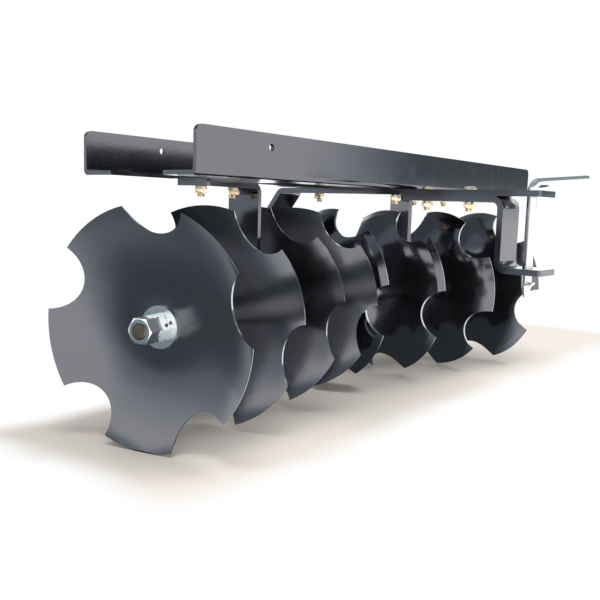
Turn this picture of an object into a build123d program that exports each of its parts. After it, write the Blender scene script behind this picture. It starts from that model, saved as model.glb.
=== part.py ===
from build123d import *
import math
import os

# Disc harrow for a small garden tractor, in millimetres.
# X runs along the two angle irons, -Y is the way it is pulled, +Z is up.
# Lengths are laid out from the middle of the frame at ground level.
# At the end the whole part moves along Y, so its origin is the centre of its own box on the ground.

# Discs
disc_radius = 139.7
disc_thickness = 3.0
dish_depth = 31.0
disc_flat_radius = 30.0
bevel_width = 9.0
bevel_edge = 0.8
notch_count = 5
notch_radius = 43.0
notch_centre_radius = 150.8

# Gangs: the middle of each gang is where its hanger holds it
gang_angle = 13.6
gang_x = 197.5
disc_pitch = 123.3

# Notch direction of each disc, in degrees up from the front, from the left end to the right end
notch_phases = [14.3, 57.0, 63.5, 55.5, 67.5, 61.5, 44.5, 58.0]

# Axle and what it carries
axle_radius = 9.525
axle_end_length = 40.8
axle_head_flats = 28.6
axle_head_height = 6.5
hub_washer_radius = 24.9
hub_washer_thickness = 3.0
hub_washer_hole_radius = 2.4
hub_washer_hole_reach = 17.7
hub_washer_hole_angle = 22.0
back_washer_thickness = 2.5
hub_nut_flats = 28.6
hub_nut_height = 17.7
hub_nut_count = 2
nut_chamfer_angle = 30.0
nut_face_share = 0.95
spool_radius = 16.7
axle_end_chamfer = 1.2
fit_clearance = 0.06

# Bearings in the hangers
bearing_radius = 17.5
bearing_flange_radius = 24.0
bearing_flange_thickness = 6.0
bearing_side_gap = 0.5

# Angle irons
iron_length = 825.5
iron_flange = 50.8
iron_thickness = 4.8
iron_bend_radius = 6.5
iron_corner_radius = 8.0
frame_depth = 190.5
iron_bottom = 310.0
iron_hole_radius = 4.0
iron_hole_x = 300.0
iron_hole_height = 35.4

# Flat bars: drawbar, hitch strap and hangers
bar_width = 50.8
bar_thickness = 7.9
bar_bend_radius = 8.0
bar_corner_radius = 3.0
drawbar_front = -296.0
drawbar_bend_y = 130.0
drawbar_tail_length = 60.0
drawbar_tail_angle = 52.0
strap_rear = -98.5
strap_leg_front = -248.0
strap_lug_front = -302.0
clevis_gap = 91.0
hanger_width = 46.0
hanger_reach = 125.0
hanger_toe = 30.0
hanger_toe_radius = 20.0

# Plates that close the gap between the irons over the hangers
plate_thickness = 6.4
plate_margin = 22.0

# Bolts
bolt_radius = 4.76
bolt_hole_radius = 5.1
bolt_head_radius = 10.4
bolt_head_height = 5.2
bolt_nut_flats = 14.3
bolt_nut_height = 8.2
bolt_end_length = 4.5
hitch_bolt_y = [-123.0, -187.5]
hanger_bolt_reach = [31.0, 107.0]
hanger_bolt_edge_gap = 9.6

# Hitch pin
pin_radius = 6.35
pin_hole_radius = 6.85
pin_y = -275.0
pin_bottom = 173.0
pin_taper_length = 14.0
pin_tip_radius = 2.4
pin_bend_radius = 10.0
pin_handle_length = 92.0
pin_handle_turn = -25.0
pin_handle_rise = 5.0
pin_seat_gap = 0.3
clip_wire_radius = 1.65
clip_hole_radius = 1.8
clip_height = 191.0
clip_leg_length = 30.0
clip_stub_length = 4.0
clip_turn = 195.0

# How far a cutter runs past the faces that it cuts, and what keeps two round bends from meeting
cut_margin = 1.0
bend_slack = 0.01

axle_height = disc_radius
bar_top = iron_bottom
bar_bottom = bar_top - bar_thickness
strap_bottom = bar_bottom - bar_thickness
lug_top = bar_bottom - clevis_gap
lug_bottom = lug_top - bar_thickness
flange_centre_y = frame_depth / 2 - iron_flange / 2
flange_edge_y = frame_depth / 2 - iron_flange
iron_hole_z = iron_bottom + iron_hole_height
hex_ratio = 2 / math.sqrt(3)

# Each hanger's inner bolt stands just clear of the rear iron's flange, and that places the gang
gang_y = flange_edge_y - hanger_bolt_edge_gap + hanger_bolt_reach[0] * math.sin(math.radians(gang_angle))

nodes = {}


def hexagon(flats):
    return RegularPolygon(radius=flats * hex_ratio / 2, side_count=6)


def rod(radius, start, end):
    """A round bar along X."""
    disk = Plane.YZ.offset(start) * Circle(radius)
    return extrude(disk, end - start)


def hex_block(flats, start, end):
    """A six-sided block along X, with its corners turned down at both ends as on a nut."""
    corner = flats * hex_ratio / 2
    drop = corner - nut_face_share * flats / 2
    depth = drop * math.tan(math.radians(nut_chamfer_angle))
    turned = rod(corner + cut_margin, start, end)
    turned = chamfer(turned.edges().filter_by(GeomType.CIRCLE), depth, drop + cut_margin)
    return extrude(Plane.YZ.offset(start) * hexagon(flats), end - start) & turned


def upright(radius, x, y, low, high):
    """A round bar along Z."""
    return Pos(x, y, low) * extrude(Circle(radius), high - low)


# Angle irons


def angle_iron(side):
    """side -1 is the front iron and 1 the rear one; both lower flanges point inwards."""
    outer = side * frame_depth / 2
    inner = outer - side * iron_thickness
    edge = outer - side * iron_flange
    top = iron_bottom + iron_flange
    shelf = iron_bottom + iron_thickness
    section = Plane.YZ * Polyline(
        (outer, iron_bottom),
        (outer, top),
        (inner, top),
        (inner, shelf),
        (edge, shelf),
        (edge, iron_bottom),
        close=True,
    )
    iron = extrude(make_face(section), iron_length / 2, dir=(1, 0, 0), both=True)
    heel = iron.edges().filter_by(Axis.X).sort_by_distance((0, outer, iron_bottom))[0]
    iron = fillet(heel, iron_bend_radius)
    throat = iron.edges().filter_by(Axis.X).sort_by_distance((0, inner, shelf))[0]
    iron = fillet(throat, max(iron_bend_radius - iron_thickness, 1.0))
    corners = iron.edges().filter_by(Axis.Y).group_by(Axis.Z)[-1]
    iron = fillet(corners, iron_corner_radius)
    drill = Cylinder(iron_hole_radius, 3 * iron_thickness, rotation=(90, 0, 0))
    for x in (-iron_hole_x, iron_hole_x):
        iron -= Pos(x, outer - side * iron_thickness / 2, iron_hole_z) * drill
    iron -= upright(bolt_hole_radius, 0, side * flange_centre_y, iron_bottom - cut_margin, shelf + cut_margin)
    return iron


nodes["front_angle_iron"] = angle_iron(-1)
nodes["rear_angle_iron"] = angle_iron(1)


# Carriage bolts, point down, with a nut under the lowest plate


def carriage_bolt(x, y, top, bottom):
    dome_radius = (bolt_head_radius**2 + bolt_head_height**2) / (2 * bolt_head_height)
    dome = Pos(0, 0, bolt_head_height - dome_radius) * Sphere(dome_radius)
    slab = Cylinder(bolt_head_radius, bolt_head_height, align=(Align.CENTER, Align.CENTER, Align.MIN))
    head = Pos(x, y, top) * (dome & slab)
    shank = upright(bolt_radius, x, y, bottom - bolt_nut_height - bolt_end_length, top)
    nut = Pos(x, y, bottom - bolt_nut_height) * extrude(hexagon(bolt_nut_flats), bolt_nut_height)
    return head + shank + nut


def together(pieces):
    return Compound(children=list(pieces))


shelf_top = iron_bottom + iron_thickness
nodes["drawbar_bolts"] = together(
    carriage_bolt(0, y, shelf_top, bar_bottom) for y in (-flange_centre_y, flange_centre_y)
)
nodes["hitch_bolts"] = together(carriage_bolt(0, y, bar_top, strap_bottom) for y in hitch_bolt_y)


# Drawbar, with its rear end bent down, and the S-shaped strap under its front end


def bent_bar(points, width):
    """A flat bar from a centre line in the YZ plane, with round bends."""
    line = Plane.YZ * FilletPolyline(*points, radius=bar_bend_radius + bar_thickness / 2)
    start = line @ 0
    heading = line % 0
    section = Plane(origin=start, x_dir=(1, 0, 0), z_dir=heading) * Rectangle(width, bar_thickness)
    return sweep(section, path=line)


def drawbar():
    middle = (bar_top + bar_bottom) / 2
    tail_y = drawbar_tail_length * math.cos(math.radians(drawbar_tail_angle))
    tail_z = drawbar_tail_length * math.sin(math.radians(drawbar_tail_angle))
    points = [
        (drawbar_front, middle),
        (drawbar_bend_y, middle),
        (drawbar_bend_y + tail_y, middle - tail_z),
    ]
    bar = bent_bar(points, bar_width)
    bar = fillet(bar.edges().filter_by(Axis.Z).group_by(Axis.Y)[0], bar_corner_radius)
    for y in [-flange_centre_y, flange_centre_y] + hitch_bolt_y:
        bar -= upright(bolt_hole_radius, 0, y, bar_bottom - cut_margin, bar_top + cut_margin)
    bar -= upright(pin_hole_radius, 0, pin_y, bar_bottom - cut_margin, bar_top + cut_margin)
    return bar


def hitch_strap():
    upper = bar_bottom - bar_thickness / 2
    lower = lug_bottom + bar_thickness / 2
    leg = strap_leg_front + bar_thickness / 2
    points = [(strap_rear, upper), (leg, upper), (leg, lower), (strap_lug_front, lower)]
    strap = bent_bar(points, bar_width)
    strap = fillet(strap.edges().filter_by(Axis.Z).group_by(Axis.Y)[0], bar_corner_radius)
    for y in hitch_bolt_y:
        strap -= upright(bolt_hole_radius, 0, y, strap_bottom - cut_margin, bar_bottom + cut_margin)
    strap -= upright(pin_hole_radius, 0, pin_y, lug_bottom - cut_margin, lug_top + cut_margin)
    return strap


nodes["drawbar"] = drawbar()
nodes["hitch_strap"] = hitch_strap()


# Hitch pin with its bent handle, and the hairpin clip through its lower end


def hitch_pin():
    turn = math.radians(pin_handle_turn)
    rise = math.radians(pin_handle_rise)
    bend_tangent = pin_bend_radius * math.tan((math.pi / 2 - rise) / 2)
    bend_centre = bar_top + pin_seat_gap + bend_tangent
    reach = pin_handle_length * math.cos(rise)
    top = bend_centre + pin_handle_length * math.sin(rise)
    tip = (reach * math.cos(turn), pin_y + reach * math.sin(turn), top)
    line = FilletPolyline(
        (0, pin_y, pin_bottom + pin_taper_length),
        (0, pin_y, bend_centre),
        tip,
        radius=pin_bend_radius,
    )
    pin = sweep(Plane(origin=line @ 0, z_dir=line % 0) * Circle(pin_radius), path=line)
    taper = Cone(pin_tip_radius, pin_radius, pin_taper_length)
    pin += Pos(0, pin_y, pin_bottom + pin_taper_length / 2) * taper
    hole = Rot(0, 0, clip_turn) * Cylinder(clip_hole_radius, 4 * pin_radius, rotation=(0, 90, 0))
    pin -= Pos(0, pin_y, clip_height) * hole
    return pin


def pin_clip():
    """A straight leg through the pin and a second leg that springs round its outside."""
    gap = pin_radius + clip_wire_radius + pin_seat_gap
    line = FilletPolyline(
        (-pin_radius - clip_stub_length, 0, 0),
        (clip_leg_length, 0, 0),
        (clip_leg_length, gap, 0),
        (-pin_radius, gap, 0),
        radius=gap / 2 - bend_slack,
    )
    wire = sweep(Plane(origin=line @ 0, z_dir=line % 0) * Circle(clip_wire_radius), path=line)
    return Pos(0, pin_y, clip_height) * Rot(0, 0, clip_turn) * wire


nodes["hitch_pin"] = hitch_pin()
nodes["pin_clip"] = pin_clip()


# Gang parts are made along X, from the outer end to the inner end, with the hanger at X = 0


def gang_place(side):
    """Where a gang's own X axis goes: from its outer end to its inner end."""
    turn = gang_angle if side < 0 else 180 - gang_angle
    return Pos(side * gang_x, gang_y, axle_height) * Rot(0, 0, turn)


def disc_station(number):
    """Centre of the hollow face of disc 0 to 3, counted from the outer end."""
    return (number - 1.5) * disc_pitch - disc_thickness / 2


def disc(number, phase, side):
    """A dished disc, hollow side outwards, with a bevel ground on its back."""
    hub = disc_station(number)
    rim = hub - dish_depth
    lip = disc_radius - bevel_width
    hollow_radius = ((disc_radius - disc_flat_radius) ** 2 + dish_depth**2) / (2 * dish_depth)

    def face_x(radius):
        return hub - hollow_radius + math.sqrt(hollow_radius**2 - (radius - disc_flat_radius) ** 2)

    half = (disc_flat_radius + disc_radius) / 2
    half_back = (disc_flat_radius + lip) / 2
    with BuildSketch(Plane.XZ) as profile:
        with BuildLine():
            Line((hub, 0), (hub, disc_flat_radius))
            ThreePointArc((hub, disc_flat_radius), (face_x(half), half), (rim, disc_radius))
            Line((rim, disc_radius), (rim + bevel_edge, disc_radius))
            Line((rim + bevel_edge, disc_radius), (face_x(lip) + disc_thickness, lip))
            ThreePointArc(
                (face_x(lip) + disc_thickness, lip),
                (face_x(half_back) + disc_thickness, half_back),
                (hub + disc_thickness, disc_flat_radius),
            )
            Line((hub + disc_thickness, disc_flat_radius), (hub + disc_thickness, 0))
            Line((hub + disc_thickness, 0), (hub, 0))
        make_face()
    blade = revolve(profile.sketch, Axis.X)
    for step in range(notch_count):
        angle = math.radians(phase + step * 360 / notch_count)
        y = -math.cos(angle) * notch_centre_radius * (1 if side < 0 else -1)
        z = math.sin(angle) * notch_centre_radius
        blade -= Pos(0, y, z) * rod(notch_radius, rim - cut_margin, hub + disc_thickness + cut_margin)
    blade -= rod(axle_radius + fit_clearance, rim - cut_margin, hub + disc_thickness + cut_margin)
    return blade


def axle():
    outer_end = disc_station(0) - axle_end_length
    head_start = disc_station(3) + disc_thickness + back_washer_thickness
    head = hex_block(axle_head_flats, head_start, head_start + axle_head_height)
    bar = rod(axle_radius, outer_end, head_start)
    bar = chamfer(bar.edges().sort_by(Axis.X)[0], axle_end_chamfer)
    return bar + head


def hub_washer(side):
    """side -1 or 1 keeps the small hole towards the front on both gangs."""
    face = disc_station(0)
    back = face - hub_washer_thickness
    plate = rod(hub_washer_radius, back, face)
    angle = math.radians(hub_washer_hole_angle)
    hole = rod(hub_washer_hole_radius, back - cut_margin, face + cut_margin)
    plate -= Pos(0, side * hub_washer_hole_reach * math.cos(angle), hub_washer_hole_reach * math.sin(angle)) * hole
    return plate - rod(axle_radius + fit_clearance, back - cut_margin, face + cut_margin)


def back_washer(number):
    """A washer on the back of a disc."""
    start = disc_station(number) + disc_thickness
    end = start + back_washer_thickness
    return rod(hub_washer_radius, start, end) - rod(axle_radius + fit_clearance, start - cut_margin, end + cut_margin)


def hub_nut():
    """Two nuts locked against each other."""
    seat = disc_station(0) - hub_washer_thickness
    end = seat - hub_nut_count * hub_nut_height
    body = hex_block(hub_nut_flats, end, end + hub_nut_height)
    for number in range(1, hub_nut_count):
        start = end + number * hub_nut_height
        body += hex_block(hub_nut_flats, start, start + hub_nut_height)
    return body - rod(axle_radius + fit_clearance, end - cut_margin, seat + cut_margin)


def spool(start, end):
    body = rod(spool_radius, start, end)
    return body - rod(axle_radius + fit_clearance, start - cut_margin, end + cut_margin)


bearing_half = bar_thickness / 2 + bearing_flange_thickness
spool_start = bearing_half + bearing_side_gap


def bearing():
    body = rod(bearing_radius, -bearing_half, bearing_half)
    for way in (-1, 1):
        inner = way * bar_thickness / 2
        outer = way * bearing_half
        body += rod(bearing_flange_radius, min(inner, outer), max(inner, outer))
    return body - rod(axle_radius + fit_clearance, -bearing_half - cut_margin, bearing_half + cut_margin)


def hanger():
    """An L-shaped bar: bolted flat at the top, its leg drops to the axle."""
    top = bar_top - axle_height
    middle = top - bar_thickness / 2
    line = Plane.XZ * FilletPolyline(
        (-hanger_reach, middle),
        (0, middle),
        (0, -hanger_toe),
        radius=bar_bend_radius + bar_thickness / 2,
    )
    section = Plane(origin=line @ 0, x_dir=(0, 1, 0), z_dir=line % 0) * Rectangle(hanger_width, bar_thickness)
    bar = sweep(section, path=line)
    bar = fillet(bar.edges().filter_by(Axis.X).group_by(Axis.Z)[0], hanger_toe_radius)
    bar = fillet(bar.edges().filter_by(Axis.Z).group_by(Axis.X)[0], bar_corner_radius)
    for reach in hanger_bolt_reach:
        bar -= upright(bolt_hole_radius, -reach, 0, middle - bar_thickness, top + cut_margin)
    return bar - rod(bearing_radius, -bar_thickness, bar_thickness)


def hanger_bolts():
    top = bar_top + plate_thickness - axle_height
    bottom = bar_bottom - axle_height
    return together(carriage_bolt(-reach, 0, top, bottom) for reach in hanger_bolt_reach)


def hanger_bolt_points(side):
    place = gang_place(side)
    return [(place * Pos(-reach, 0, 0)).position for reach in hanger_bolt_reach]


def gang_plate(side):
    points = hanger_bolt_points(side)
    low = min(p.X for p in points) - plate_margin
    high = max(p.X for p in points) + plate_margin
    plate = Pos(low, -flange_edge_y, iron_bottom) * Box(
        high - low, 2 * flange_edge_y, plate_thickness, align=(Align.MIN, Align.MIN, Align.MIN)
    )
    plate_top = iron_bottom + plate_thickness
    for p in points:
        plate -= upright(bolt_hole_radius, p.X, p.Y, iron_bottom - cut_margin, plate_top + cut_margin)
    return plate


for side, name in ((-1, "left"), (1, "right")):
    place = gang_place(side)
    nodes[name + "_gang_plate"] = gang_plate(side)
    nodes[name + "_hanger"] = place * hanger()
    nodes[name + "_hanger_bolts"] = place * hanger_bolts()
    nodes[name + "_bearing"] = place * bearing()
    nodes[name + "_axle"] = place * axle()
    nodes[name + "_hub_washer"] = place * hub_washer(side)
    nodes[name + "_hub_nut"] = place * hub_nut()
    nodes[name + "_back_washers"] = place * together(back_washer(number) for number in range(4))
    for number in range(4):
        count = number + 1 if side < 0 else 8 - number
        blade = disc(number, notch_phases[count - 1], side)
        nodes["disc_%d" % count] = place * blade
    back = [disc_station(number) + disc_thickness + back_washer_thickness for number in range(4)]
    nodes[name + "_outer_spool"] = place * spool(back[0], disc_station(1))
    nodes[name + "_outer_bearing_spool"] = place * spool(back[1], -spool_start)
    nodes[name + "_inner_bearing_spool"] = place * spool(spool_start, disc_station(2))
    nodes[name + "_inner_spool"] = place * spool(back[2], disc_station(3))


# Move the origin to the centre of the part's own box, on the ground

box = Compound(children=[shape.moved(Location()) for shape in nodes.values()]).bounding_box()
origin_y = (box.min.Y + box.max.Y) / 2
to_origin = Location((0, -origin_y, 0))

os.makedirs("parts", exist_ok=True)
for name, shape in nodes.items():
    export_step(shape.moved(to_origin), "parts/%s.step" % name)
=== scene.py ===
import math

import bpy
from mathutils import Matrix, Vector


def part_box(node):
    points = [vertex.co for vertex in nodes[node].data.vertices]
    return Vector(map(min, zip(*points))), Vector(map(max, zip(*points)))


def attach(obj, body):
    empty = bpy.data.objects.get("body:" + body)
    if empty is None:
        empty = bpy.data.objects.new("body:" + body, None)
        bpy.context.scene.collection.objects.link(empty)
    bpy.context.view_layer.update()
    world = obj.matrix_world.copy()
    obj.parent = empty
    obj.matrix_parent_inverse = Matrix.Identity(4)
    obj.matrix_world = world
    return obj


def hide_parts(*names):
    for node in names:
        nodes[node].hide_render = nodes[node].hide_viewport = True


# Disc harrow for a small garden tractor. Lengths are in metres.

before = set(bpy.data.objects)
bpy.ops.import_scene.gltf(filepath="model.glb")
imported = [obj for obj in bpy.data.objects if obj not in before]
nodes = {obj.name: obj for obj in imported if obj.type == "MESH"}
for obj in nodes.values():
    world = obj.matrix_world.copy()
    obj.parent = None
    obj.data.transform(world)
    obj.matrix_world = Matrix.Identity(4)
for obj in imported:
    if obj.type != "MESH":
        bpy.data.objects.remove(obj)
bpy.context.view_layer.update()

# Camera, at the photograph's place and angle

PHOTO_PIXELS = 600
FOCAL_PIXELS = 744.19
SENSOR_WIDTH = 36.0
NEAREST_SEEN = 0.01
FARTHEST_SEEN = 60.0
CAMERA_PLACE = Vector((-0.92896, -0.60380, 0.28144))
CAMERA_YAW = math.radians(39.263)
CAMERA_PITCH = math.radians(7.170)
CAMERA_ROLL = math.radians(1.745)


def photo_camera():
    """The camera, turned by its yaw, its pitch down and its roll."""
    data = bpy.data.cameras.new("camera")
    data.sensor_width = SENSOR_WIDTH
    data.lens = FOCAL_PIXELS / PHOTO_PIXELS * SENSOR_WIDTH
    data.clip_start = NEAREST_SEEN
    data.clip_end = FARTHEST_SEEN
    look = Vector((
        math.cos(CAMERA_YAW) * math.cos(CAMERA_PITCH),
        math.sin(CAMERA_YAW) * math.cos(CAMERA_PITCH),
        -math.sin(CAMERA_PITCH),
    ))
    level = Vector((math.sin(CAMERA_YAW), -math.cos(CAMERA_YAW), 0.0))
    up = level.cross(look)
    right = math.cos(CAMERA_ROLL) * level + math.sin(CAMERA_ROLL) * up
    top = -math.sin(CAMERA_ROLL) * level + math.cos(CAMERA_ROLL) * up
    turn = Matrix((right, top, -look)).transposed().to_4x4()
    camera = bpy.data.objects.new("camera", data)
    camera.matrix_world = Matrix.Translation(CAMERA_PLACE) @ turn
    bpy.context.scene.collection.objects.link(camera)
    bpy.context.scene.camera = camera


photo_camera()
bpy.context.scene.view_settings.view_transform = "Standard"

# Materials

LEFT = -1
RIGHT = 1
GANG_ANGLE = math.radians(13.6)


class NodeTree:
    """The nodes of a material or of the world, with one short call for each kind of node."""

    def __init__(self, owner):
        owner.use_nodes = True
        self.owner = owner
        self.nodes = owner.node_tree.nodes
        self.links = owner.node_tree.links

    def add(self, kind, inputs=None, **settings):
        node = self.nodes.new(kind)
        for key, value in settings.items():
            setattr(node, key, value)
        self.feed(node, inputs or {})
        return node

    def feed(self, node, inputs):
        """Give sockets, by name or number, a plain value or the output of another node."""
        for key, value in inputs.items():
            if isinstance(value, bpy.types.NodeSocket):
                self.links.new(value, node.inputs[key])
            else:
                node.inputs[key].default_value = value

    def math(self, operation, *values):
        node = self.add("ShaderNodeMath", dict(enumerate(values)), operation=operation)
        return node.outputs["Value"]

    def spread(self, value, source, target, smooth=False):
        """Move a value from one range to another, straight or with soft ends."""
        run = "SMOOTHSTEP" if smooth else "LINEAR"
        inputs = {
            "Value": value,
            "From Min": source[0],
            "From Max": source[1],
            "To Min": target[0],
            "To Max": target[1],
        }
        return self.add("ShaderNodeMapRange", inputs, interpolation_type=run).outputs["Result"]

    def split(self, vector):
        return self.add("ShaderNodeSeparateXYZ", {"Vector": vector}).outputs

    def mix(self, share, first, second):
        """A colour between two, through the node's colour sockets."""
        node = self.add("ShaderNodeMix", data_type="RGBA")
        self.feed(node, {0: share, 6: first, 7: second})
        return node.outputs[2]

    def choose(self, share, first, second):
        """The first shader where the share is 0, and the second where it is 1."""
        return self.add("ShaderNodeMixShader", {0: share, 1: first, 2: second}).outputs["Shader"]

    def seen(self):
        """1 where the camera, a reflection or glass sees it, and 0 where it only lights other things."""
        ray = self.add("ShaderNodeLightPath").outputs
        direct = self.math("MAXIMUM", ray["Is Camera Ray"], ray["Is Glossy Ray"])
        return self.math("MAXIMUM", direct, ray["Is Transmission Ray"])


class Finish(NodeTree):
    """A material on a piece's own coordinates."""

    def __init__(self, name):
        super().__init__(bpy.data.materials.new(name))
        self.shader = self.nodes["Principled BSDF"]
        self.place = self.add("ShaderNodeTexCoord").outputs

    def noise(self, pattern, stretch=None):
        """Noise from a pattern of (repeats in a metre, detail, roughness)."""
        place = self.place["Object"]
        if stretch:
            place = self.add("ShaderNodeMapping", {"Vector": place, "Scale": stretch}).outputs["Vector"]
        scale, detail, roughness = pattern
        inputs = {"Vector": place, "Scale": scale, "Detail": detail, "Roughness": roughness}
        return self.add("ShaderNodeTexNoise", inputs).outputs["Fac"]

    def bump(self, height, relief, under=None):
        """A bumped normal, with a relief of (strength, depth), over another one if there is one."""
        node = self.add("ShaderNodeBump", {"Height": height, "Strength": relief[0], "Distance": relief[1]})
        if under:
            self.feed(node, {"Normal": under})
        return node.outputs["Normal"]


def rgb(red, green, blue):
    return (red, green, blue, 1.0)


FULL_RANGE = (0.0, 1.0)
NOISE_RANGE = (0.3, 0.7)

PAINT_VIOLET = rgb(0.152, 0.147, 0.166)
PAINT_TEAL = rgb(0.138, 0.143, 0.158)
PAINT_METALLIC = 0.95
PAINT_ROUGHNESS = (0.11, 0.16)
PAINT_CLOUDS = (5.0, 3.0, 0.5)
PAINT_CLOUD_RANGE = (0.38, 0.62)
PAINT_GLOSS = (38.0, 4.0, 0.6)
SPRAY_WAVES = (210.0, 2.0, 0.5)
SPRAY_WAVES_RELIEF = (0.05, 0.0006)
SPRAY_GRAIN = (1400.0, 1.0, 0.5)
SPRAY_GRAIN_RELIEF = (0.04, 0.0001)

# A disc's thin edges: partly bare steel, partly a painted highlight.
EDGE_STEEL_AND_HIGHLIGHT = rgb(0.50, 0.52, 0.53)
EDGE_TO_FACE = (0.35, 0.6)

PLATE_CLOUDS = (120.0, 4.0, 0.6)
PLATE_CLOUD_RANGE = (0.35, 0.65)
PLATE_GLOSS = (420.0, 3.0, 0.6)
PLATE_SCRATCHES = (900.0, 2.0, 0.5)
PLATE_SCRATCH_STRETCH = (1.0, 0.15, 0.6)
PLATE_SCRATCH_RELIEF = (0.05, 0.0002)


def thin_edge(made, side):
    """1 on a disc's thin edge, which faces outwards from the axle, and 0 on its two faces."""
    turn = made.add(
        "ShaderNodeMapping",
        {"Vector": made.place["Normal"], "Rotation": (0.0, 0.0, side * GANG_ANGLE)},
        vector_type="VECTOR",
    )
    along_axle = made.math("ABSOLUTE", made.split(turn.outputs["Vector"])["X"])
    return made.spread(along_axle, EDGE_TO_FACE, (1.0, 0.0), smooth=True)


def enamel(name, disc_side=None):
    """Gunmetal enamel: two close tints in soft clouds, and the fine waviness of a sprayed coat.

    On a disc, for which its side is given, its thin edges are lighter: partly bare steel, partly a painted
    highlight.
    """
    made = Finish(name)
    cloud = made.spread(made.noise(PAINT_CLOUDS), PAINT_CLOUD_RANGE, FULL_RANGE)
    tint = made.mix(cloud, PAINT_VIOLET, PAINT_TEAL)
    if disc_side:
        # Thin edges made lighter: partly bare steel, partly a painted highlight.
        tint = made.mix(thin_edge(made, disc_side), tint, EDGE_STEEL_AND_HIGHLIGHT)
    waves = made.bump(made.noise(SPRAY_WAVES), SPRAY_WAVES_RELIEF)
    made.feed(made.shader, {
        "Base Color": tint,
        "Metallic": PAINT_METALLIC,
        "Roughness": made.spread(made.noise(PAINT_GLOSS), NOISE_RANGE, PAINT_ROUGHNESS),
        "Normal": made.bump(made.noise(SPRAY_GRAIN), SPRAY_GRAIN_RELIEF, waves),
    })
    return made.owner


def plated(name, light, dark, roughness):
    """Bare or plated steel, a little cloudy, with fine scratches."""
    made = Finish(name)
    cloud = made.spread(made.noise(PLATE_CLOUDS), PLATE_CLOUD_RANGE, FULL_RANGE)
    scratches = made.noise(PLATE_SCRATCHES, PLATE_SCRATCH_STRETCH)
    made.feed(made.shader, {
        "Base Color": made.mix(cloud, light, dark),
        "Metallic": 1.0,
        "Roughness": made.spread(made.noise(PLATE_GLOSS), NOISE_RANGE, roughness),
        "Normal": made.bump(scratches, PLATE_SCRATCH_RELIEF),
    })
    return made.owner


FRAME_ENAMEL = enamel("frame_enamel")
LEFT_DISC_ENAMEL = enamel("disc_enamel_left", LEFT)
RIGHT_DISC_ENAMEL = enamel("disc_enamel_right", RIGHT)
WHITE_ZINC = plated("white_zinc", rgb(0.82, 0.84, 0.84), rgb(0.70, 0.73, 0.74), (0.10, 0.18))
YELLOW_ZINC = plated("yellow_zinc", rgb(0.86, 0.72, 0.46), rgb(0.78, 0.70, 0.58), (0.24, 0.36))
PIN_ZINC = plated("pin_zinc", rgb(0.68, 0.69, 0.68), rgb(0.62, 0.64, 0.63), (0.16, 0.22))
GALVANISED = plated("galvanised_pipe", rgb(0.62, 0.64, 0.66), rgb(0.45, 0.47, 0.49), (0.34, 0.5))
AXLE_STEEL = plated("axle_steel", rgb(0.17, 0.14, 0.11), rgb(0.10, 0.085, 0.07), (0.35, 0.5))
BEARING_IRON = plated("bearing_iron", rgb(0.10, 0.10, 0.11), rgb(0.07, 0.07, 0.08), (0.35, 0.5))

LEFT_DISCS = ("disc_1", "disc_2", "disc_3", "disc_4")


def finish_of(name):
    """The finish of a CAD part, by its name."""
    if name in LEFT_DISCS:
        return LEFT_DISC_ENAMEL
    if name.startswith("disc_"):
        return RIGHT_DISC_ENAMEL
    if name.endswith("_bolts"):
        return YELLOW_ZINC
    if name in ("hitch_pin", "pin_clip"):
        return PIN_ZINC
    if name.endswith(("hub_washer", "hub_nut", "back_washers")):
        return WHITE_ZINC
    if name.endswith("_axle"):
        return AXLE_STEEL
    if name.endswith("spool"):
        return GALVANISED
    if name.endswith("bearing"):
        return BEARING_IRON
    return FRAME_ENAMEL


for name, node in nodes.items():
    node.data.materials.clear()
    node.data.materials.append(finish_of(name))

# Edges of the bent bars and irons, rounded as rolled steel's are

EDGE_ROUND = 0.0006
EDGE_SEGMENTS = 2
EDGE_ANGLE = math.radians(50)
WELD_REACH = 0.00001
BAR_NODES = (
    "front_angle_iron",
    "rear_angle_iron",
    "drawbar",
    "hitch_strap",
    "left_hanger",
    "right_hanger",
    "left_gang_plate",
    "right_gang_plate",
)


def round_edges(piece):
    weld = piece.modifiers.new("weld", "WELD")
    weld.merge_threshold = WELD_REACH
    rounding = piece.modifiers.new("round_edges", "BEVEL")
    rounding.limit_method = "ANGLE"
    rounding.angle_limit = EDGE_ANGLE
    rounding.width = EDGE_ROUND
    rounding.segments = EDGE_SEGMENTS
    rounding.harden_normals = True


for name in BAR_NODES:
    round_edges(nodes[name])

# Carriage bolts with a washer and a chamfered nut

BOLT_RADIUS = 0.00476
BOLT_SIDES = 32
SHANK_IN_HEAD = 0.0005
HEAD_RADIUS = 0.0104
HEAD_HEIGHT = 0.0052
HEAD_SIDES = 48
HEAD_TAPER = 0.62
HEAD_ROUND = 0.0026
HEAD_ROUND_SEGMENTS = 5
HEAD_ROUND_ANGLE = math.radians(20)
WASHER_RADIUS = BOLT_RADIUS * 1.55
WASHER_HEIGHT = 0.0019
WASHER_SIDES = 40
WASHER_ROUND = 0.0004
NUT_FLATS = 0.0143
NUT_SIDES = 6
NUT_AND_WASHER_HEIGHT = 0.0082
NUT_ROUND = 0.00018
NUT_TURNING_SHARE = 1.02
NUT_CHAMFER_SHARE = 0.16
END_LENGTH = 0.0045
END_IN_NUT = 0.002
THREAD_PITCH = 0.0011
THREAD_DEPTH = 0.0005
BEVEL_SEGMENTS = 2
BEVEL_ANGLE = math.radians(30)
SMOOTH_ANGLE = math.radians(32)
FIRST_BOLT_TURN = 0.5
NEXT_BOLT_TURN = 0.9


def deselect_pieces():
    if bpy.context.mode != "OBJECT":
        bpy.ops.object.mode_set(mode="OBJECT")
    bpy.ops.object.select_all(action="DESELECT")


def apply(piece, modifier):
    bpy.context.view_layer.objects.active = piece
    bpy.ops.object.modifier_apply(modifier=modifier.name)


def bevel(piece, width, segments=BEVEL_SEGMENTS, angle=BEVEL_ANGLE):
    modifier = piece.modifiers.new("bevel", "BEVEL")
    modifier.width = width
    modifier.segments = segments
    modifier.limit_method = "ANGLE"
    modifier.angle_limit = angle
    apply(piece, modifier)


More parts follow.
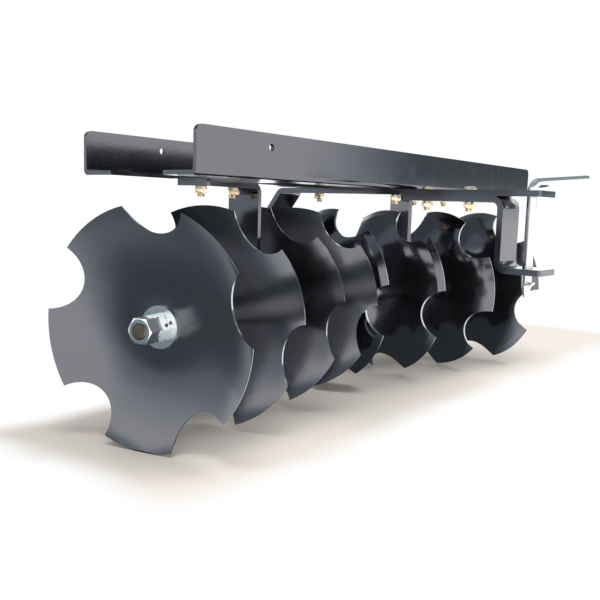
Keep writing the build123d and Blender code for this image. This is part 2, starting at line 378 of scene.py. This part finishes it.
def upright_cylinder(radius, low, high, sides):
    deselect_pieces()
    bpy.ops.mesh.primitive_cylinder_add(
        vertices=sides,
        radius=radius,
        depth=high - low,
        location=(0, 0, (high + low) / 2),
    )
    made = bpy.context.object
    bpy.ops.object.transform_apply(location=True, rotation=True, scale=True)
    return made


def deselect_in_mesh():
    """Leave nothing selected in the active mesh, and faces as what is selected next."""
    bpy.ops.object.mode_set(mode="EDIT")
    bpy.ops.mesh.select_mode(type="FACE")
    bpy.ops.mesh.select_all(action="DESELECT")
    bpy.ops.object.mode_set(mode="OBJECT")


def bolt_head():
    """A round head whose top is drawn in and rounded over to a dome."""
    head = upright_cylinder(HEAD_RADIUS, 0.0, HEAD_HEIGHT, HEAD_SIDES)
    deselect_in_mesh()
    top = max(head.data.polygons, key=lambda face: face.center.z)
    top.select = True
    bpy.ops.object.mode_set(mode="EDIT")
    bpy.ops.transform.resize(value=(HEAD_TAPER, HEAD_TAPER, 1.0))
    bpy.ops.object.mode_set(mode="OBJECT")
    bevel(head, HEAD_ROUND, HEAD_ROUND_SEGMENTS, HEAD_ROUND_ANGLE)
    return head


def chamfered_nut(low, high):
    """A six-sided nut whose corners are turned down at both ends."""
    corner = NUT_FLATS / math.sqrt(3)
    turned = upright_cylinder(corner * NUT_TURNING_SHARE, low, high, HEAD_SIDES)
    bevel(turned, corner * NUT_CHAMFER_SHARE, segments=1)
    nut = upright_cylinder(corner, low, high, NUT_SIDES)
    cut = nut.modifiers.new("turned_down", "BOOLEAN")
    cut.operation = "INTERSECT"
    cut.object = turned
    apply(nut, cut)
    bpy.data.objects.remove(turned)
    bevel(nut, NUT_ROUND)
    return nut


def threaded_end(low, high):
    """The bolt's end, from inside the nut down to its tip, with rings for its thread."""
    made = upright_cylinder(BOLT_RADIUS, high, high + END_IN_NUT, BOLT_SIDES)
    deselect_in_mesh()
    bottom = min(made.data.polygons, key=lambda face: face.center.z)
    bottom.select = True
    bpy.ops.object.mode_set(mode="EDIT")
    rings = int((high - low) / THREAD_PITCH)
    fall = (0, 0, (low - high) / rings / 2)
    groove = 1.0 - THREAD_DEPTH / BOLT_RADIUS
    for size in (groove, 1.0 / groove) * rings:
        bpy.ops.mesh.extrude_region_move(TRANSFORM_OT_translate={"value": fall})
        bpy.ops.transform.resize(value=(size, size, 1.0))
    bpy.ops.transform.resize(value=(groove, groove, 1.0))
    bpy.ops.object.mode_set(mode="OBJECT")
    return made


def join(pieces):
    """Make one piece of several. It keeps the first one's name."""
    deselect_pieces()
    for piece in pieces:
        piece.select_set(True)
    bpy.context.view_layer.objects.active = pieces[0]
    bpy.ops.object.join()
    return pieces[0]


def carriage_bolt(name, plates):
    """A bolt through plates of one thickness: its head above 0, and its nut below the plates."""
    washer_low = -plates - WASHER_HEIGHT
    nut_low = -plates - NUT_AND_WASHER_HEIGHT
    head = bolt_head()
    shank = upright_cylinder(BOLT_RADIUS, -plates, SHANK_IN_HEAD, BOLT_SIDES)
    washer = upright_cylinder(WASHER_RADIUS, washer_low, -plates, WASHER_SIDES)
    bevel(washer, WASHER_ROUND)
    nut = chamfered_nut(nut_low, washer_low)
    end = threaded_end(nut_low - END_LENGTH, nut_low)
    bolt = join([head, shank, washer, nut, end])
    bolt.name = name
    bpy.ops.object.shade_smooth_by_angle(angle=SMOOTH_ANGLE)
    return bolt


def copy_of(piece):
    made = piece.copy()
    made.data = piece.data.copy()
    bpy.context.scene.collection.objects.link(made)
    return made


def bolt_set(name, node, places, top, plates):
    """Copies of one bolt at their places, as one piece that stands for a CAD part."""
    first = carriage_bolt(name, plates)
    bolts = [first] + [copy_of(first) for _ in places[1:]]
    for number, (bolt, (x, y)) in enumerate(zip(bolts, places)):
        turn = Matrix.Rotation(FIRST_BOLT_TURN + number * NEXT_BOLT_TURN, 4, "Z")
        bolt.data.transform(Matrix.Translation((x, y, top)) @ turn)
    made = join(bolts)
    made.data.materials.clear()
    made.data.materials.append(YELLOW_ZINC)
    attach(made, "frame")
    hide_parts(node)


BAR_TOP = 0.310
BAR_THICKNESS = 0.0079
PLATE_THICKNESS = 0.0064
SHELF_THICKNESS = 0.0048
FLANGE_MIDDLE = 0.06985
HITCH_BOLT_Y = (-0.123, -0.1875)
HANGER_BOLT_REACH = (0.031, 0.107)
FRAME_MIDDLE_Y = (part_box("front_angle_iron")[0][1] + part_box("rear_angle_iron")[1][1]) / 2


def hanger_bolt_places(hand, side):
    """Over a hanger's foot, along the gang from its bearing outwards."""
    low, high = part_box(hand + "_bearing")
    middle = (Vector(low) + Vector(high)) / 2
    out = Vector((side * math.cos(GANG_ANGLE), -math.sin(GANG_ANGLE)))
    return [(middle.x + reach * out.x, middle.y + reach * out.y) for reach in HANGER_BOLT_REACH]


bolt_set(
    "drawbar_bolt_set",
    "drawbar_bolts",
    [(0.0, FRAME_MIDDLE_Y - FLANGE_MIDDLE), (0.0, FRAME_MIDDLE_Y + FLANGE_MIDDLE)],
    BAR_TOP + SHELF_THICKNESS,
    SHELF_THICKNESS + BAR_THICKNESS,
)
bolt_set(
    "hitch_bolt_set",
    "hitch_bolts",
    [(0.0, FRAME_MIDDLE_Y + y) for y in HITCH_BOLT_Y],
    BAR_TOP,
    2 * BAR_THICKNESS,
)
for side, hand in ((LEFT, "left"), (RIGHT, "right")):
    bolt_set(
        hand + "_hanger_bolt_set",
        hand + "_hanger_bolts",
        hanger_bolt_places(hand, side),
        BAR_TOP + PLATE_THICKNESS,
        PLATE_THICKNESS + BAR_THICKNESS,
    )

# The painted reflections of a studio that the enamel shows: glowing sheets that light nothing, painted as
# soft boxes, dark walls and a floor.
# A level is a brightness, where 1 is white. Azimuths and elevations are in degrees.
# A sector fades in between its first two azimuths and out between its last two.
# Stops are (elevation, level) on the walls, (azimuth, elevation) along a painted soft box's top,
# and (distance, level) across the pool of painted shade on the floor.

BRIGHT = 1.55
DIM = 0.42
DARK = 0.24
CEILING = 0.9
DIM_TINT = (0.74, 0.94, 1.06)

WALL_STOPS = ((0, BRIGHT), (27, BRIGHT), (31, DIM), (70, DIM), (90, CEILING))
BACK_SECTOR = (76, 88, 114, 126)
BACK_STOPS = ((0, BRIGHT), (10, BRIGHT), (15, DARK), (48, DARK), (90, CEILING))
BACK_LEFT_SECTOR = (112, 124, 168, 182)
BACK_LEFT_TOP_STOPS = ((125, 13), (138, 19), (150, 28), (180, 29))
FRONT_RIGHT_SECTOR = (320, 329, 352, 360)
FRONT_RIGHT_STOPS = ((2.2, BRIGHT), (3.4, DARK), (40, DARK), (90, CEILING))

# A pool of painted shade on the reflected floor at the left end.
PAINTED_SHADE_POOL_START = (-0.38, 0.05)
PAINTED_SHADE_POOL_SECTOR = (100, 122, 162, 186)
PAINTED_SHADE_POOL_STOPS = ((0.25, 1.1), (0.36, 0.5), (0.48, DARK), (0.9, DARK), (1.6, 0.45), (4.0, 0.75))
# Painted shade on the reflected floor under the discs.
PAINTED_SHADE_UNDER_DISCS_X = (-0.68, -0.56, 0.46, 0.62)
PAINTED_SHADE_UNDER_DISCS_Y = (-0.07, 0.0, 0.28, 0.36)
PAINTED_SHADE_UNDER_DISCS_LEVEL = 0.13

STUDIO_REACH = 8.0
STUDIO_FLOOR_HEIGHT = 0.0015
WALL_STEPS = 180
WALL_ELEVATIONS = (
    0, 1, 2, 3, 4, 5, 6, 8, 10, 12, 14, 16, 19, 22, 25, 28, 31, 34, 37, 40, 45, 50, 60, 70, 80, 89,
)
FLOOR_STEPS = 120
FIRST_REACH = 0.02
REACH_GROWTH = 1.16
REACH_COUNT = 41
FLOOR_REACHES = [FIRST_REACH * REACH_GROWTH**ring for ring in range(REACH_COUNT)] + [STUDIO_REACH]


def step_between(value, start, end):
    """0 before start, 1 after end, and smooth between them. Start may be the larger one."""
    share = min(max((value - start) / (end - start), 0.0), 1.0)
    return share * share * (3.0 - 2.0 * share)


def inside(value, span):
    """1 between the two middle values of a span, 0 outside its ends, and smooth between them."""
    return step_between(value, span[0], span[1]) * step_between(value, span[3], span[2])


def level_at(value, stops):
    """The level at a value, from (value, level) stops, with straight runs between them."""
    if value <= stops[0][0]:
        return stops[0][1]
    for (start, first), (end, second) in zip(stops, stops[1:]):
        if value <= end:
            return first + (second - first) * (value - start) / (end - start)
    return stops[-1][1]


def between(first, second, share):
    return first + (second - first) * share


def back_left_stops(top):
    """A painted soft box reflection that brightens upwards to its top, with the painted dark room above
    it.
    """
    return (
        (0, 0.7),
        (4, 0.8),
        (8, 1.1),
        (top - 3, 1.65),
        (top, 1.7),
        (top + 3, DIM),
        (90, CEILING),
    )


def painted_wall_reflection_level(azimuth, elevation):
    """How bright the painted studio reflection is in a direction."""
    top = level_at(azimuth, BACK_LEFT_TOP_STOPS)
    level = level_at(elevation, WALL_STOPS)
    for sector, stops in (
        (BACK_LEFT_SECTOR, back_left_stops(top)),
        (BACK_SECTOR, BACK_STOPS),
        (FRONT_RIGHT_SECTOR, FRONT_RIGHT_STOPS),
    ):
        level = between(level, level_at(elevation, stops), inside(azimuth, sector))
    return level


def painted_floor_reflection_level(x, y):
    """How bright the painted floor reflection is: pale, with painted shade under the discs and in a pool
    at the left end.
    """
    off = Vector((x - PAINTED_SHADE_POOL_START[0], y - PAINTED_SHADE_POOL_START[1]))
    azimuth = math.degrees(math.atan2(off.y, off.x)) % 360
    level = between(BRIGHT, level_at(off.length, PAINTED_SHADE_POOL_STOPS), inside(azimuth, PAINTED_SHADE_POOL_SECTOR))
    return between(level, PAINTED_SHADE_UNDER_DISCS_LEVEL, inside(x, PAINTED_SHADE_UNDER_DISCS_X) * inside(y, PAINTED_SHADE_UNDER_DISCS_Y))


def wall_corner(elevation, turn):
    flat = STUDIO_REACH * math.cos(math.radians(elevation))
    height = STUDIO_REACH * math.sin(math.radians(elevation))
    place = (flat * math.cos(turn), flat * math.sin(turn), height)
    return place, painted_wall_reflection_level(math.degrees(turn) % 360, elevation)


def floor_corner(reach, turn):
    x = reach * math.cos(turn)
    y = reach * math.sin(turn)
    return (x, y, STUDIO_FLOOR_HEIGHT), painted_floor_reflection_level(x, y)


def tinted(level):
    """The colour of a level: dim light is bluish, and bright light is white."""
    share = min(level / BRIGHT, 1.0)
    return [level * between(dim, 1.0, share) for dim in DIM_TINT] + [1.0]


def glowing(name):
    """A material that shines with the colours its mesh carries."""
    made = NodeTree(bpy.data.materials.new(name))
    made.nodes.remove(made.nodes["Principled BSDF"])
    read = made.add("ShaderNodeAttribute", attribute_name="glow")
    shine = made.add("ShaderNodeEmission", {"Color": read.outputs["Color"], "Strength": 1.0})
    made.feed(made.nodes["Material Output"], {"Surface": shine.outputs["Emission"]})
    return made.owner


def painted_reflection_sheet(name, rings, steps, corner):
    """A round glowing sheet that only reflections see and that lights nothing: a painted reflection. Each
    corner has a place and its own brightness.
    """
    turns = [2 * math.pi * step / steps for step in range(steps)]
    corners = [corner(ring, turn) for ring in rings for turn in turns]
    faces = []
    for start in range(0, len(corners) - steps, steps):
        for step in range(steps):
            after = (step + 1) % steps
            faces.append((start + step, start + after, start + steps + after, start + steps + step))
    mesh = bpy.data.meshes.new(name)
    mesh.from_pydata([place for place, level in corners], [], faces)
    colours = [part for place, level in corners for part in tinted(level)]
    mesh.attributes.new("glow", "FLOAT_COLOR", "POINT").data.foreach_set("color", colours)
    mesh.materials.append(glowing(name))
    sheet = bpy.data.objects.new(name, mesh)
    bpy.context.scene.collection.objects.link(sheet)
    sheet.visible_camera = False
    sheet.visible_diffuse = False
    sheet.visible_shadow = False
    sheet.visible_volume_scatter = False


# Floor, sky and lamp

FLOOR_SIZE = 60.0
WHITE = rgb(1, 1, 1)
CREAM = rgb(0.86, 0.80, 0.73)
PLAIN_FLOOR = rgb(0.9, 0.9, 0.88)
FLOOR_ROUGHNESS = 0.9
PATCH_MIDDLE = (0.20, 0.065)
PATCH_HALF = (0.69, 0.163)
PATCH_FADE = 0.03
PATCH_WAVER = (5.0, 2.0, 0.5)
PATCH_WAVER_WIDTH = (-0.012, 0.012)
SKY_LIGHT = 0.45
LAMP_PLACE = (-0.1, -0.35, 2.1)
LAMP_TARGET = (0.0, 0.0, 0.1)
LAMP_SIZE = (2.2, 0.8)
LAMP_WATTS = 36.0


def floor():
    """White, with a cream patch round the object that takes its shadow."""
    bpy.ops.mesh.primitive_plane_add(size=FLOOR_SIZE, location=(0, 0, 0))
    ground = bpy.context.object
    ground.name = "floor"
    made = Finish("floor")
    ground.data.materials.append(made.owner)
    made.feed(made.shader, {"Base Color": CREAM, "Roughness": FLOOR_ROUGHNESS})
    place = made.split(made.place["Object"])
    waver = made.spread(made.noise(PATCH_WAVER), NOISE_RANGE, PATCH_WAVER_WIDTH)
    within = []
    for axis, middle, half in zip("XY", PATCH_MIDDLE, PATCH_HALF):
        off = made.math("ABSOLUTE", made.math("SUBTRACT", place[axis], middle))
        off = made.math("ADD", off, waver)
        outside = made.spread(off, (half - PATCH_FADE, half + PATCH_FADE), FULL_RANGE, smooth=True)
        within.append(made.math("SUBTRACT", 1.0, outside))
    white = made.add("ShaderNodeEmission", {"Strength": 1.0}).outputs["Emission"]
    patch = made.choose(made.math("MULTIPLY", *within), white, made.shader.outputs["BSDF"])
    plain = made.add("ShaderNodeBsdfDiffuse", {"Color": PLAIN_FLOOR}).outputs["BSDF"]
    surface = made.choose(made.seen(), plain, patch)
    made.feed(made.nodes["Material Output"], {"Surface": surface})


def sky():
    """White to the eye, and a dimmer light on the object."""
    world = bpy.data.worlds.new("world")
    made = NodeTree(world)
    light = made.nodes["Background"]
    made.feed(light, {"Color": WHITE, "Strength": SKY_LIGHT})
    white = made.add("ShaderNodeBackground", {"Color": WHITE, "Strength": 1.0})
    surface = made.choose(made.seen(), light.outputs["Background"], white.outputs["Background"])
    made.feed(made.nodes["World Output"], {"Surface": surface})
    bpy.context.scene.world = world


def lamp():
    """A rectangular lamp overhead that lights the object and isn't seen or reflected itself."""
    data = bpy.data.lights.new("overhead", "AREA")
    data.shape = "RECTANGLE"
    data.size, data.size_y = LAMP_SIZE
    data.energy = LAMP_WATTS
    made = bpy.data.objects.new("overhead", data)
    made.location = LAMP_PLACE
    aim = Vector(LAMP_TARGET) - Vector(LAMP_PLACE)
    made.rotation_euler = aim.to_track_quat("-Z", "Y").to_euler()
    made.visible_camera = False
    made.visible_glossy = False
    bpy.context.scene.collection.objects.link(made)


floor()
sky()
lamp()
# Painted reflections: glowing sheets that light nothing and that only reflections see.
painted_reflection_sheet("painted_reflection_sky", WALL_ELEVATIONS, WALL_STEPS, wall_corner)
painted_reflection_sheet("painted_reflection_floor", FLOOR_REACHES, FLOOR_STEPS, floor_corner)
